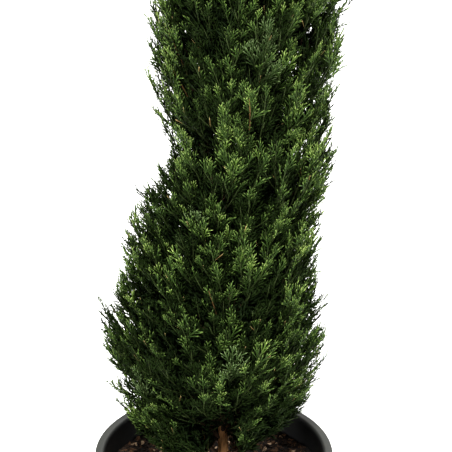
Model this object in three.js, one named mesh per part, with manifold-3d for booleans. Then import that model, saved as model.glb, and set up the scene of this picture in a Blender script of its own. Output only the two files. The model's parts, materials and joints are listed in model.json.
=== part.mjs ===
// A potted Italian cypress, in millimetres with +Z up.
// The origin is the middle of the pot's flat underside, and -Y is the side that faces the viewer.
import * as THREE from "three";
import { mergeVertices } from "three/addons/utils/BufferGeometryUtils.js";
import Module from "manifold-3d";

const wasm = await Module();
wasm.setup();

// Driving sizes

const SEAT_GAP = 0.3; // between two pieces that rest on each other
const POT = {
  rimRadius: 150,
  height: 270,
  baseRadius: 112,
  footRound: 6,
  wall: 3.2,
  floor: 4,
  lipWidth: 12.5,
  lipDepth: 24,
  lipRound: 5,
  sides: 44,
};
const SOIL = { depthBelowRim: 30, levelRadius: 60, edgeDrop: 3, sides: 24 };
const TRUNK = {
  footX: 11.5, // the stem stands a little right of the pot's middle
  lean: 25, // how far the stem has moved right by the top of its lean
  leanFrom: 320,
  leanTo: 800,
  wander: 4, // front and back
  wanderLength: 260,
  radius: 5.8,
  tipRadius: 2.4,
  flare: 3.2, // the extra radius of the root flare
  flareHeight: 16,
  top: 1190,
  sides: 8,
  steps: 20,
  crowding: 1.6, // how much closer together its rings lie at the foot
};
const CROWN = { columnRadius: 96, shoulder: 840, tip: 1300, tipRadius: 14, taperPower: 1.6 };

const LEFT = Math.PI;
// Swellings and hollows of the crown: on one side, or all round where side is null.
const SWELLINGS = [
  { side: null, height: 430, size: 16, spread: 60 },
  { side: null, height: 810, size: 10, spread: 70 },
  { side: LEFT, height: 460, size: 44, spread: 125 },
  { side: LEFT, height: 675, size: -20, spread: 42 },
];
const SIDE_FOCUS = 4; // how narrowly a one-sided swelling keeps to its side

// Tiers of boughs from the soil up. foot is where a tier's floor meets the trunk, rise how steeply
// that floor climbs outwards, and turn the direction of the tier's first mass, in degrees from +X.
const TIERS = [
  { name: "skirt", foot: 248, rise: 0.04, masses: 4, turn: 225 },
  { name: "belly", foot: 278, rise: 0.7, masses: 5, turn: 198 },
  { name: "flank", foot: 345, rise: 1.2, masses: 4, turn: 180 },
  { name: "waist", foot: 445, rise: 1.5, masses: 4, turn: 245 },
  { name: "shoulder", foot: 570, rise: 1.65, masses: 4, turn: 180 },
  { name: "neck", foot: 700, rise: 1.8, masses: 3, turn: 245 },
  { name: "collar", foot: 830, rise: 2, masses: 3, turn: 270 },
  { name: "spire", foot: 960, rise: 2.3, masses: 1, turn: 0 },
];
const BOUGH = {
  radius: 2.6,
  tipRadius: 1.8,
  sides: 5,
  steps: 3,
  clearOfCore: 7,
  lowestRoot: 0.12, // where a tier's lowest bough leaves the trunk, as a share of the tier's height
  rootSpread: 0.5, // the part of that height over which the roots are spread
  sag: 0.12,
  shareStep: 0.02,
  testPoints: 12,
};
const STEM = { tipRadius: 0.9, sides: 4, steps: 2 };
const MASS = {
  apart: 1.2, // from a mass to the wall of its own space
  trunkClear: 18,
  rimClear: 5,
  soilClear: 3,
  middle: 0.56, // the core's middle, as a share of the crown's reach
  spireMiddle: 1115,
  coreMargin: 5,
  coreFill: 0.82, // how far a core fills its space upwards and sideways
  coreFace: 0.5, // and outwards, where the sprays stand out of it
};
const SPRAY = {
  // Each row's height in its mass's depth, and how much steeper than its tier it stands.
  rows: [
    { up: 0.1, lift: 0 },
    { up: 0.36, lift: 0.35 },
    { up: 0.62, lift: 0.3 },
    { up: 0.86, lift: 0 },
  ],
  roundTrunk: 12, // sprays of one row in all the masses of a tier
  spireRows: [
    { up: 0.04, lift: 0.2 },
    { up: 0.16, lift: 0.5 },
    { up: 0.3, lift: 0.8 },
    { up: 0.45, lift: 0.8 },
    { up: 0.6, lift: 0.8 },
  ],
  inSpireRow: 6,
  leader: 76, // how much of the leading shoot stands out of the spire's core
  spread: 0.9, // how far over its mass a row of sprays reaches
  seat: 0.62, // where a spray leaves the core, as a share of the crown's reach
  spireSeat: 0.45,
  steepest: 9, // how steeply the spire's last sprays stand
  longest: 130,
  shortest: 30,
  narrowest: 0.4,
  sunk: 0.3, // the share of a spray that is sunk in the core
  width: 0.25, // half of the width over the teeth, as a share of the length
  thickness: 0.05,
  roll: 0.8, // how far a spray may turn edge on, in radians
  scatter: 0.2,
  narrow: 0.84,
  shrink: 0.94,
  ridge: 0.5, // where a spray is thickest
  stagger: 0.25, // how far each second row is moved along
  limbClear: 2,
};
// The right half of a spray's toothed outline, between its root and its tip: along, across.
const SPRAY_TEETH = [
  [0.7, 1],
  [0.66, 0.42],
];
const SEED = { first: 20, perTier: 97, perMass: 13 };
const PASSES = 8; // after which a height and the reach at that height agree
const UP = new THREE.Vector3(0, 0, 1);

const MATERIALS = {
  pot: new THREE.MeshStandardMaterial({ color: 0x343634, roughness: 0.55, metalness: 0 }),
  soil: new THREE.MeshStandardMaterial({ color: 0x3b2a1d, roughness: 0.95, metalness: 0 }),
  bark: new THREE.MeshStandardMaterial({ color: 0x6a472e, roughness: 0.9, metalness: 0 }),
  foliage: new THREE.MeshStandardMaterial({ color: 0x2f4d24, roughness: 0.75, metalness: 0 }),
};

// Worked-out sizes

const soilLevel = POT.height - SOIL.depthBelowRim;
const lipInnerRadius = POT.rimRadius - POT.lipWidth;
const wallTop = POT.height - POT.lipDepth;
const wallTopRadius = lipInnerRadius + POT.wall;

// General helpers

// Random numbers from a fixed seed, so that every build grows the same plant.
function seeded(seed) {
  let state = seed >>> 0;
  return () => {
    state = (state + 0x6d2b79f5) >>> 0;
    let t = Math.imul(state ^ (state >>> 15), 1 | state);
    t = (t + Math.imul(t ^ (t >>> 7), 61 | t)) ^ t;
    return ((t ^ (t >>> 14)) >>> 0) / 4294967296;
  };
}

function smoothStep(from, to, value) {
  const t = Math.min(1, Math.max(0, (value - from) / (to - from)));
  return t * t * (3 - 2 * t);
}

// A closed geometry as a solid that can be joined and cut.
function solidOf(geometry) {
  const bare = new THREE.BufferGeometry();
  bare.setAttribute("position", geometry.getAttribute("position"));
  bare.setIndex(geometry.getIndex());
  const merged = mergeVertices(bare, 1e-4);
  const corners = merged.index.array;
  const kept = [];
  for (let i = 0; i < corners.length; i += 3) {
    const [a, b, c] = [corners[i], corners[i + 1], corners[i + 2]];
    if (a !== b && b !== c && c !== a) kept.push(a, b, c);
  }
  const vertProperties = merged.attributes.position.array;
  return new wasm.Manifold(new wasm.Mesh({ numProp: 3, vertProperties, triVerts: new Uint32Array(kept) }));
}

function geometryOf(solid) {
  const mesh = solid.getMesh();
  const geometry = new THREE.BufferGeometry();
  geometry.setAttribute("position", new THREE.BufferAttribute(mesh.vertProperties, 3));
  geometry.setIndex(new THREE.BufferAttribute(mesh.triVerts, 1));
  geometry.computeVertexNormals();
  return geometry;
}

// The largest body of a solid: loose scraps are dropped, and sealed hollows filled.
function mainBody(solid) {
  return solid.decompose().reduce((largest, body) => (body.volume() > largest.volume() ? body : largest));
}

function namedMesh(name, solid, material) {
  const mesh = new THREE.Mesh(geometryOf(solid), material);
  mesh.name = name;
  return mesh;
}

// A solid turned about the Z axis from an outline of [radius, height] points.
function turned(outline, sides) {
  const points = outline.map(([radius, height]) => new THREE.Vector2(radius, height));
  return solidOf(new THREE.LatheGeometry(points, sides).rotateX(Math.PI / 2));
}

// Points along a quarter-round corner about a middle, from one angle to another.
function corner(middleRadius, middleHeight, round, fromDegrees, toDegrees, steps = 2) {
  return Array.from({ length: steps + 1 }, (_, i) => {
    const angle = THREE.MathUtils.degToRad(fromDegrees + ((toDegrees - fromDegrees) * i) / steps);
    return [middleRadius + round * Math.cos(angle), middleHeight + round * Math.sin(angle)];
  });
}

// A tapering limb along a curve: a cylinder bent to it, with flat ends.
function limb(curve, radiusAt, sides, steps) {
  const geometry = new THREE.CylinderGeometry(1, 1, 1, sides, steps);
  const frames = curve.computeFrenetFrames(steps, false);
  const position = geometry.getAttribute("position");
  for (let i = 0; i < position.count; i++) {
    const share = position.getY(i) + 0.5;
    const ring = Math.round(share * steps);
    const point = curve.getPointAt(ring / steps);
    const radius = radiusAt(ring / steps);
    point.addScaledVector(frames.normals[ring], position.getX(i) * radius);
    point.addScaledVector(frames.binormals[ring], -position.getZ(i) * radius);
    position.setXYZ(i, point.x, point.y, point.z);
  }
  return solidOf(geometry);
}

// Pot and soil

function innerWallRadius(height) {
  const share = (height - POT.floor) / (wallTop - POT.floor);
  return THREE.MathUtils.lerp(POT.baseRadius - POT.wall, lipInnerRadius, Math.min(1, share));
}

function makePot() {
  const lipTop = POT.height - POT.lipRound;
  const outline = [
    [0, 0],
    ...corner(POT.baseRadius - POT.footRound, POT.footRound, POT.footRound, -90, 0),
    [wallTopRadius, wallTop - POT.lipRound],
    [POT.rimRadius - POT.wall, wallTop],
    [POT.rimRadius, wallTop + POT.wall],
    ...corner(POT.rimRadius - POT.lipRound, lipTop, POT.lipRound, 0, 90),
    ...corner(lipInnerRadius + POT.lipRound, lipTop, POT.lipRound, 90, 180),
    [lipInnerRadius, wallTop],
    [innerWallRadius(POT.floor), POT.floor],
    [0, POT.floor],
  ];
  return turned(outline, POT.sides);
}

function makeSoil() {
  // Flats of the pot's many-sided wall lie inside its radius, so the soil is set in by that much.
  const flatShare = Math.cos(Math.PI / POT.sides);
  const edgeLevel = soilLevel - SOIL.edgeDrop;
  const fit = (height) => innerWallRadius(height) * flatShare - SEAT_GAP;
  const floor = POT.floor + SEAT_GAP;
  const outline = [
    [0, floor],
    [fit(floor), floor],
    [fit(edgeLevel), edgeLevel],
    [SOIL.levelRadius, soilLevel],
    [0, soilLevel],
  ];
  return turned(outline, SOIL.sides);
}

// Trunk

function trunkAt(z) {
  const x = TRUNK.footX + TRUNK.lean * smoothStep(TRUNK.leanFrom, TRUNK.leanTo, z);
  const y = TRUNK.wander * Math.sin((z - soilLevel) / TRUNK.wanderLength);
  return new THREE.Vector3(x, y, z);
}

function trunkRadius(z) {
  const share = (z - soilLevel) / (TRUNK.top - soilLevel);
  const flare = TRUNK.flare * Math.exp(-(z - soilLevel) / TRUNK.flareHeight);
  return THREE.MathUtils.lerp(TRUNK.radius, TRUNK.tipRadius, share) + flare;
}

// The trunk, or a form that is larger than it all round by a clearance. Its rings are level, so that
// its foot is a flat cut at soil level, and they lie closer together at the root flare.
function makeTrunk(clearance) {
  const foot = soilLevel + SEAT_GAP - clearance;
  const top = TRUNK.top + clearance;
  const geometry = new THREE.CylinderGeometry(1, 1, 1, TRUNK.sides, TRUNK.steps);
  const position = geometry.getAttribute("position");
  for (let i = 0; i < position.count; i++) {
    const share = (position.getY(i) + 0.5) ** TRUNK.crowding;
    const z = foot + (top - foot) * share;
    const middle = trunkAt(z);
    const radius = trunkRadius(z) + clearance;
    position.setXYZ(i, middle.x + position.getX(i) * radius, middle.y - position.getZ(i) * radius, z);
  }
  return solidOf(geometry);
}

// Crown outline and the space of each mass

// How far the foliage stands out from the trunk: a column that closes to a point, with swellings.
function reach(angle, z) {
  const share = Math.max(0, (z - CROWN.shoulder) / (CROWN.tip - CROWN.shoulder));
  let out = CROWN.columnRadius * (1 - Math.min(1, share) ** CROWN.taperPower);
  for (const { side, height, size, spread } of SWELLINGS) {
    const facing = side === null ? 1 : Math.abs(Math.cos((angle - side) / 2)) ** SIDE_FOCUS;
    out += size * facing * Math.exp(-(((z - height) / spread) ** 2));
  }
  return Math.max(CROWN.tipRadius, out);
}

// The height of a tier's floor at a distance from the trunk. The last ceiling is the crown's tip.
function tierFloor(index, out) {
  return index < TIERS.length ? TIERS[index].foot + TIERS[index].rise * out : CROWN.tip;
}

// A mass's direction round the trunk.
function massAngle(tier, index) {
  return THREE.MathUtils.degToRad(tier.turn) + (2 * Math.PI * index) / tier.masses;
}

// The spire is the one mass that stands all round the trunk, over its tip.
function isSpire(space) {
  return space.tier.masses === 1;
}

// Whether a point lies in a mass's own space, at least apart from that space's walls.
function inSpace(point, space, apart) {
  const middle = trunkAt(point.z);
  const out = Math.hypot(point.x - middle.x, point.y - middle.y);
  const angle = Math.atan2(point.y - middle.y, point.x - middle.x);
  if (out > reach(angle, point.z)) return false;
  if (point.z < tierFloor(space.tierIndex, out) + apart) return false;
  if (point.z > tierFloor(space.tierIndex + 1, out) - apart) return false;
  if (point.z < soilLevel + MASS.soilClear) return false;
  const fromPot = Math.hypot(point.x, point.y);
  if (point.z < POT.height + MASS.rimClear && fromPot > lipInnerRadius - MASS.rimClear) return false;
  if (isSpire(space)) return true;
  if (out < MASS.trunkClear) return false;
  const turn = Math.abs(Math.atan2(Math.sin(angle - space.angle), Math.cos(angle - space.angle)));
  const toWall = Math.PI / space.tier.masses - turn;
  return toWall > 0 && out * Math.sin(Math.min(toWall, Math.PI / 2)) > apart;
}

// How far a ray can go before it leaves the space.
function wayOut(from, direction, space, apart, furthest = 400, step = 2) {
  let way = 0;
  while (way < furthest) {
    if (!inSpace(from.clone().addScaledVector(direction, way + step), space, apart)) break;
    way += step;
  }
  return way;
}

// Limbs and foliage of one mass

function massMiddle(space) {
  if (isSpire(space)) return trunkAt(MASS.spireMiddle);
  const floorHere = TIERS[space.tierIndex];
  const floorAbove = TIERS[space.tierIndex + 1];
  const foot = (floorHere.foot + floorAbove.foot) / 2;
  const rise = (floorHere.rise + floorAbove.rise) / 2;
  let middle = trunkAt(foot);
  for (let pass = 0; pass < PASSES; pass++) {
    const out = MASS.middle * reach(space.angle, middle.z);
    const z = foot + rise * out;
    middle = trunkAt(z);
    middle.x += out * Math.cos(space.angle);
    middle.y += out * Math.sin(space.angle);
  }
  return middle;
}

// The line that a bough and then its mass's stem follow, from the trunk to the mass's middle.
function limbLine(space) {
  if (isSpire(space)) {
    return new THREE.LineCurve3(trunkAt(TRUNK.top), trunkAt(CROWN.tip - SPRAY.leader / 2));
  }
  const depth = TIERS[space.tierIndex + 1].foot - space.tier.foot;
  const step = ((space.index * 2) % space.tier.masses) / space.tier.masses;
  const root = trunkAt(space.tier.foot + depth * (BOUGH.lowestRoot + BOUGH.rootSpread * step));
  const bend = root.clone().lerp(space.middle, 0.5);
  bend.z -= BOUGH.sag * root.distanceTo(space.middle);
  return new THREE.QuadraticBezierCurve3(root, bend, space.middle);
}

// How far the core of a mass goes in a direction from its middle.
function coreWay(space, direction) {
  const facing = Math.max(0, direction.x * Math.cos(space.angle) + direction.y * Math.sin(space.angle));
  const outwards = isSpire(space) ? Math.hypot(direction.x, direction.y) : facing;
  const fill = THREE.MathUtils.lerp(MASS.coreFill, MASS.coreFace, outwards);
  return Math.max(MASS.coreMargin / 2, fill * wayOut(space.middle, direction, space, MASS.coreMargin));
}

// The share of a line at which it comes within a clearance of the core.
function shareBeforeCore(line, space) {
  let share = 1;
  while (share > 2 * BOUGH.shareStep) {
    share -= BOUGH.shareStep;
    const away = line.getPointAt(share).sub(space.middle);
    const way = away.length();
    if (way > coreWay(space, away.normalize()) + BOUGH.clearOfCore) break;
  }
  return share;
}

// The stretch of a line between two shares of its length.
function stretch(line, from, to, points = 6) {
  return new THREE.CatmullRomCurve3(
    Array.from({ length: points }, (_, i) => line.getPointAt(from + ((to - from) * i) / (points - 1))),
  );
}

function makeCore(space) {
  const geometry = new THREE.OctahedronGeometry(1, 2);
  const position = geometry.getAttribute("position");
  for (let i = 0; i < position.count; i++) {
    const direction = new THREE.Vector3().fromBufferAttribute(position, i).normalize();
    const point = space.middle.clone().addScaledVector(direction, coreWay(space, direction));
    position.setXYZ(i, point.x, point.y, point.z);
  }
  return geometry;
}

// The corners of a toothed spray: its two ridge points, then its outline.
function sprayCorners(root, along, across, length, narrowed) {
  const face = along.clone().cross(across);
  const at = (u, v, w) =>
    root
      .clone()
      .addScaledVector(along, u * length)
      .addScaledVector(across, v * length * SPRAY.width * narrowed)
      .addScaledVector(face, w * length * SPRAY.thickness);
  const right = SPRAY_TEETH.map(([u, v]) => at(u, v, 0));
  const left = SPRAY_TEETH.map(([u, v]) => at(u, -v, 0)).reverse();
  return [at(SPRAY.ridge, 0, 0.5), at(SPRAY.ridge, 0, -0.5), at(0, 0, 0), ...right, at(1, 0, 0), ...left];
}

function spraySolid(corners) {
  const outline = corners.length - 2;
  const index = [];
  for (let i = 0; i < outline; i++) {
    const here = 2 + i;
    const next = 2 + ((i + 1) % outline);
    index.push(0, next, here, 1, here, next);
  }
  const geometry = new THREE.BufferGeometry().setFromPoints(corners);
  geometry.setIndex(index);
  return solidOf(geometry);
}

// Whether a spray keeps to its space and clear of its own bough.
function sprayFits(corners, space, boughPoints) {
  return corners.every((corner) => {
    if (!inSpace(corner, space, MASS.apart)) return false;
    return boughPoints.every((point) => corner.distanceTo(point) > BOUGH.radius + SPRAY.limbClear);
  });
}

// Where a spray leaves the core: across from -1 to 1 over the mass, up from 0 to 1 over its depth.
function spraySeat(space, across, up) {
  const angle = space.angle + (across * Math.PI) / space.tier.masses;
  let z = space.middle.z;
  let out = 0;
  for (let pass = 0; pass < PASSES; pass++) {
    out = (isSpire(space) ? SPRAY.spireSeat : SPRAY.seat) * reach(angle, z);
    z = THREE.MathUtils.lerp(tierFloor(space.tierIndex, out), tierFloor(space.tierIndex + 1, out), up);
  }
  const outwards = new THREE.Vector3(Math.cos(angle), Math.sin(angle), 0);
  return { seat: trunkAt(z).addScaledVector(outwards, out), outwards };
}

// One spray, as long as its space allows, or null where only a short one would fit.
function makeSpray(space, seat, along, across, boughPoints) {
  const free = wayOut(seat, along, space, MASS.apart);
  const longest = Math.min(SPRAY.longest, free / (1 - SPRAY.sunk));
  for (let length = longest; length > SPRAY.shortest; length *= SPRAY.shrink) {
    const root = seat.clone().addScaledVector(along, -SPRAY.sunk * length);
    for (let narrowed = 1; narrowed > SPRAY.narrowest; narrowed *= SPRAY.narrow) {
      const corners = sprayCorners(root, along, across, length, narrowed);
      if (sprayFits(corners, space, boughPoints)) return spraySolid(corners);
    }
  }
  return null;
}

// Sprays stand in rows over the outer side of a mass, like flames, and climb as their tier does.
function makeSprays(space, boughPoints, random) {
  const onTrunk = isSpire(space);
  const rows = onTrunk ? SPRAY.spireRows : SPRAY.rows;
  const inRow = onTrunk ? SPRAY.inSpireRow : Math.round(SPRAY.roundTrunk / space.tier.masses);
  const riseAbove = TIERS[space.tierIndex + 1]?.rise ?? SPRAY.steepest;
  const sprays = [];
  const grow = (seat, along, sideways, mostRoll) => {
    const roll = mostRoll * (random() - 0.5) * 2;
    const across = sideways.clone().addScaledVector(along, -sideways.dot(along)).normalize();
    const spray = makeSpray(space, seat, along, across.applyAxisAngle(along, roll), boughPoints);
    if (spray) sprays.push(spray);
  };
  rows.forEach(({ up, lift }, row) => {
    for (let i = 0; i < inRow; i++) {
      const moved = row % 2 === 0 ? -SPRAY.stagger : SPRAY.stagger;
      const { seat, outwards } = spraySeat(space, ((2 * i + 1 + moved) / inRow - 1) * SPRAY.spread, up);
      const sideways = new THREE.Vector3(-outwards.y, outwards.x, 0);
      const rise = THREE.MathUtils.lerp(space.tier.rise, riseAbove, up) + lift;
      const along = outwards
        .clone()
        .addScaledVector(sideways, SPRAY.scatter * (random() - 0.5) * 2)
        .addScaledVector(UP, rise + SPRAY.scatter * (random() - 0.5) * 2)
        .normalize();
      grow(seat, along, sideways, SPRAY.roll * Math.sin(Math.PI * up));
    }
  });
  if (onTrunk) grow(trunkAt(CROWN.tip - SPRAY.leader), UP, new THREE.Vector3(1, 0, 0), SPRAY.roll);
  return sprays;
}

// The mass: its stem, its core and its sprays in one piece, clear of the trunk.
function makeMass(space, line, share, boughPoints, trunkSpace) {
  const random = seeded(SEED.first + SEED.perTier * space.tierIndex + SEED.perMass * space.index);
  const from = share + SEAT_GAP / line.getLength();
  const stemRadius = isSpire(space) ? TRUNK.tipRadius : BOUGH.tipRadius;
  const taper = (t) => THREE.MathUtils.lerp(stemRadius, STEM.tipRadius, t);
  let mass = limb(stretch(line, from, 1), taper, STEM.sides, STEM.steps).add(solidOf(makeCore(space)));
  for (const spray of makeSprays(space, boughPoints, random)) mass = mass.add(spray);
  return mainBody(mass.subtract(trunkSpace));
}

function makeBough(line, share, trunkSpace) {
  const taper = (t) => THREE.MathUtils.lerp(BOUGH.radius, BOUGH.tipRadius, t);
  return limb(stretch(line, 0, share), taper, BOUGH.sides, BOUGH.steps).subtract(trunkSpace);
}

// The whole plant

const plant = new THREE.Group();
plant.name = "potted_cypress";
plant.add(namedMesh("pot", makePot(), MATERIALS.pot));
plant.add(namedMesh("soil", makeSoil(), MATERIALS.soil));
plant.add(namedMesh("trunk", makeTrunk(0), MATERIALS.bark));

const trunkSpace = makeTrunk(SEAT_GAP);
TIERS.forEach((tier, tierIndex) => {
  const limbs = new THREE.Group();
  limbs.name = tier.name;
  for (let index = 0; index < tier.masses; index++) {
    const space = { tier, tierIndex, index, angle: massAngle(tier, index) };
    space.middle = massMiddle(space);
    const line = limbLine(space);
    const onTrunk = isSpire(space);
    const label = onTrunk ? tier.name : `${tier.name}_${index + 1}`;
    const share = onTrunk ? 0 : shareBeforeCore(line, space);
    const boughPoints = onTrunk ? [] : stretch(line, 0, share).getPoints(BOUGH.testPoints);
    if (!onTrunk) limbs.add(namedMesh(`bough_${label}`, makeBough(line, share, trunkSpace), MATERIALS.bark));
    limbs.add(
      namedMesh(`foliage_${label}`, makeMass(space, line, share, boughPoints, trunkSpace), MATERIALS.foliage),
    );
  }
  plant.add(limbs);
});

export default plant;
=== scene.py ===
"""Looks of a potted Italian cypress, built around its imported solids.

The crown grows again here by the rule that made its solids, and is carried on to finer twigs and shoots.
Sizes of that rule are in millimetres. They become metres where a mesh is made.
"""

import functools
import json
import math
from collections import namedtuple
from types import SimpleNamespace as Sizes

import bmesh
import bpy
import numpy as np
from bpy.props import FloatProperty, FloatVectorProperty, IntProperty, PointerProperty
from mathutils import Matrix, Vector, noise

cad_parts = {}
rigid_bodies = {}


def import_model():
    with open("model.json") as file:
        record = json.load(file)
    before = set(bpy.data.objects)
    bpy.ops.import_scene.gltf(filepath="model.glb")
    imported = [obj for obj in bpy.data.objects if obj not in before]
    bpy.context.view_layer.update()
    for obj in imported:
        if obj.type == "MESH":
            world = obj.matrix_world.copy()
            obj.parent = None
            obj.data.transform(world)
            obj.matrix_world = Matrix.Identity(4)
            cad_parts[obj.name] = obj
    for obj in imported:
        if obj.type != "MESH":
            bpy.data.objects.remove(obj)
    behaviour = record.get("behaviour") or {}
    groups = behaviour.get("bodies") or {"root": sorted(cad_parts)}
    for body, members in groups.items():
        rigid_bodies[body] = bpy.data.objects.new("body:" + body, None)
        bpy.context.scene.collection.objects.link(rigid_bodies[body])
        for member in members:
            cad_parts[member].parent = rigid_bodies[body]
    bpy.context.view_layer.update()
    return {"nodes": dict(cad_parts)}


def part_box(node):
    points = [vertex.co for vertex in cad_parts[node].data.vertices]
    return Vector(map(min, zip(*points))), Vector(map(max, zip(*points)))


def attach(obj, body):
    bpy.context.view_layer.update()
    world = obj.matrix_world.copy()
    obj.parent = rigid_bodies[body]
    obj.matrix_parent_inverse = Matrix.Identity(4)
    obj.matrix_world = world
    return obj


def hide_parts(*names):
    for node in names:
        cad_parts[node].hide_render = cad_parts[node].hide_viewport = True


bl_info = {
    "name": "Potted Cypress",
    "version": (1, 0, 0),
    "blender": (4, 5, 0),
    "location": "View3D > Sidebar > Cypress",
    "description": "Dresses the solids of a potted Italian cypress",
    "category": "Object",
}

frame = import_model()
POT_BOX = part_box("pot")
NODES = sorted(frame["nodes"])

MM = 0.001
BODY = "root"
UP = np.array([0.0, 0.0, 1.0])
NEARLY_UPRIGHT = 0.9
GOLDEN_TURN = math.radians(137.5)
LEFT = math.pi
RIGHT = 0.0
FRONT = -math.pi / 2

# The growth rule that the solids share, in millimetres.
SOIL_LEVEL = 240.0
RIM_TOP = 270.0
LIP_INNER_RADIUS = 137.5
TRUNK = Sizes(
    foot_x=11.5, lean=25.0, lean_from=320.0, lean_to=800.0, wander=4.0, wander_length=260.0,
    radius=5.8, tip_radius=2.4, flare=3.2, flare_height=16.0, top=1190.0,
)
CROWN = Sizes(
    column_radius=96.0, shoulder=840.0, tip=1300.0, tip_radius=14.0, taper_power=1.6, rim_clear=14.0
)
Swelling = namedtuple("Swelling", "side height size spread")
SWELLINGS = (
    Swelling(None, 430.0, 16.0, 60.0),
    Swelling(None, 810.0, 10.0, 70.0),
    Swelling(LEFT, 460.0, 44.0, 125.0),
    Swelling(LEFT, 675.0, -20.0, 42.0),
)
SIDE_FOCUS = 4
Tier = namedtuple("Tier", "name foot rise masses turn")
TIERS = (
    Tier("skirt", 248.0, 0.04, 4, 225.0),
    Tier("belly", 278.0, 0.7, 5, 198.0),
    Tier("flank", 345.0, 1.2, 4, 180.0),
    Tier("waist", 445.0, 1.5, 4, 245.0),
    Tier("shoulder", 570.0, 1.65, 4, 180.0),
    Tier("neck", 700.0, 1.8, 3, 245.0),
    Tier("collar", 830.0, 2.0, 3, 270.0),
    Tier("spire", 960.0, 2.3, 1, 0.0),
)
BOUGH = Sizes(
    radius=2.6, tip_radius=1.0, collar=0.7, collar_share=0.12, lowest_root=0.12, root_spread=0.5, sag=0.12,
    turn_up=0.4, on_share=0.4, points=22, inner_points=14,
)
MASS_MIDDLE = 0.56
STEEPEST = 9.0
PASSES = 8

# What the growth is carried on to: sprays, their plumes, and the sprigs of scale leaves on those.
SPRAY = Sizes(
    row_height=26.5, spire_rows=12, spacing=37.0, fewest=3, spread=0.98, stagger=0.25, jitter=0.2, sweep=0.35,
    scatter=0.24, longest=105.0, shortest=55.0, deepest_seat=0.35, set_back=46.0, furthest=1.1, edge=0.06,
    stray_share=0.03, stray_out=6.0, darkest=-0.2, lightest=1.0, radius=1.1, tip_radius=0.7, points=7,
)
# The lowest sprays are seen from their open side, so they stand closer.
CLOSER = {"skirt": 0.52, "belly": 0.9}
PLUME = Sizes(
    leading_from=0.42, fewest=2, most=4, spacing=29.0, first=0.34, last=0.8, shift=0.04,
    lean=math.radians(26.0), lean_scatter=math.radians(6.0), longest=68.0, shortest=30.0, share=0.6, stub=0.4,
    upturn=0.5, outturn=0.25, sag=0.08, ease=1.02, cut=0.8, stop=10.0, least=0.6,
    radius=0.9, tip_radius=0.6, points=4,
)
CORE = Sizes(low=285.0, high=1230.0, step=1.7, reach=0.66, rise=1.0)
# Old, coarse foliage inside the crown. High up, where the crown is thin, it is fine.
INNER = Sizes(
    first=0.0, last=0.4, plumes=2, length=46.0, sprig=1.4, spacing=8.2, ease=0.85, depth=13.0,
    fine_above=980.0,
)
SPRIG = Sizes(
    length=25.0, spacing=7.2, fewest=4, most=15, first=0.16, last=0.97, lean=math.radians(30.0),
    tip_lean=math.radians(12.0), end_lean=0.05, upturn=0.18, base_size=1.08, tip_size=0.68, over=5.0,
    straw_size=0.6, facing=0.35, roll=0.45,
)
SIZE_SCATTER = (0.8, 1.2)
SPIRE_TOP_BEND = 30.0
# The foliage parts in front of the trunk's foot. Its underside rises outwards, most in front on the right.
PARTING = Sizes(half_width=15.0, top=320.0, rise=0.42, ragged=9.0, wave_across=3.0, wave_out=9.0)
UNDERSIDE = Sizes(
    level=258.0, start=20.0, rise=0.45, steep_side=-math.pi / 4, steep_rise=0.7, ragged=8.0, waves=9,
    wave_length=8.0,
)
# Forked plumes that stand out of the crown's outline, by the side that they are on.
# Their leaves go further out, by a share of the crown's reach.
STRAY_EASE = 0.2
STRAY_FORKS = (0.7, 0.78, 0.86)
STRAY_LIGHTEST = 0.9
Stray = namedtuple("Stray", "side height out rise")
STRAYS = (
    Stray(RIGHT, 846.0, 109.0, 1.1),
    Stray(RIGHT, 642.0, 104.0, 0.9),
    Stray(RIGHT - 0.15, 486.0, 114.0, 1.0),
    Stray(RIGHT - 0.2, 438.0, 119.0, 0.8),
    Stray(RIGHT, 384.0, 114.0, 0.9),
    Stray(LEFT, 620.0, 106.0, 1.6),
    Stray(LEFT + 0.2, 568.0, 120.0, 1.2),
    Stray(LEFT, 428.0, 143.0, 0.9),
)
# Dead stems by the trunk's foot: where each starts, bends and ends.
SNAGS = (
    ((-5.0, -6.0, 236.0), (-8.0, -11.0, 275.0), (-15.0, -18.0, 318.0)),
    ((3.0, -9.0, 238.0), (-1.0, -16.0, 262.0), (-8.0, -26.0, 292.0)),
    ((14.0, -3.0, 296.0), (18.0, -18.0, 318.0), (17.0, -40.0, 352.0)),
    ((16.0, -2.0, 268.0), (30.0, -9.0, 282.0), (44.0, -16.0, 300.0)),
)
# The crown's face falls back between groups of sprays, and further in two places that show in the photo.
HOLLOWS = Sizes(size=55.0, depth=0.17, sharpness=12)
Hollow = namedtuple("Hollow", "side height spread depth")
PLACED_HOLLOWS = (
    Hollow(FRONT + 0.3, 520.0, 42.0, 1.05),
    Hollow(FRONT - 0.45, 860.0, 42.0, 1.2),
)
# Where the photo's outline stands further out or closer in than the rule's reach, as a share of it.
Trim = namedtuple("Trim", "side height spread change")
TRIMS = (
    Trim(LEFT, 575.0, 45.0, 0.08),
    Trim(LEFT, 482.0, 30.0, -0.11),
    Trim(LEFT, 415.0, 25.0, -0.05),
    Trim(LEFT, 368.0, 24.0, -0.08),
    Trim(RIGHT, 650.0, 30.0, 0.08),
    Trim(RIGHT, 482.0, 35.0, 0.09),
)
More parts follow.
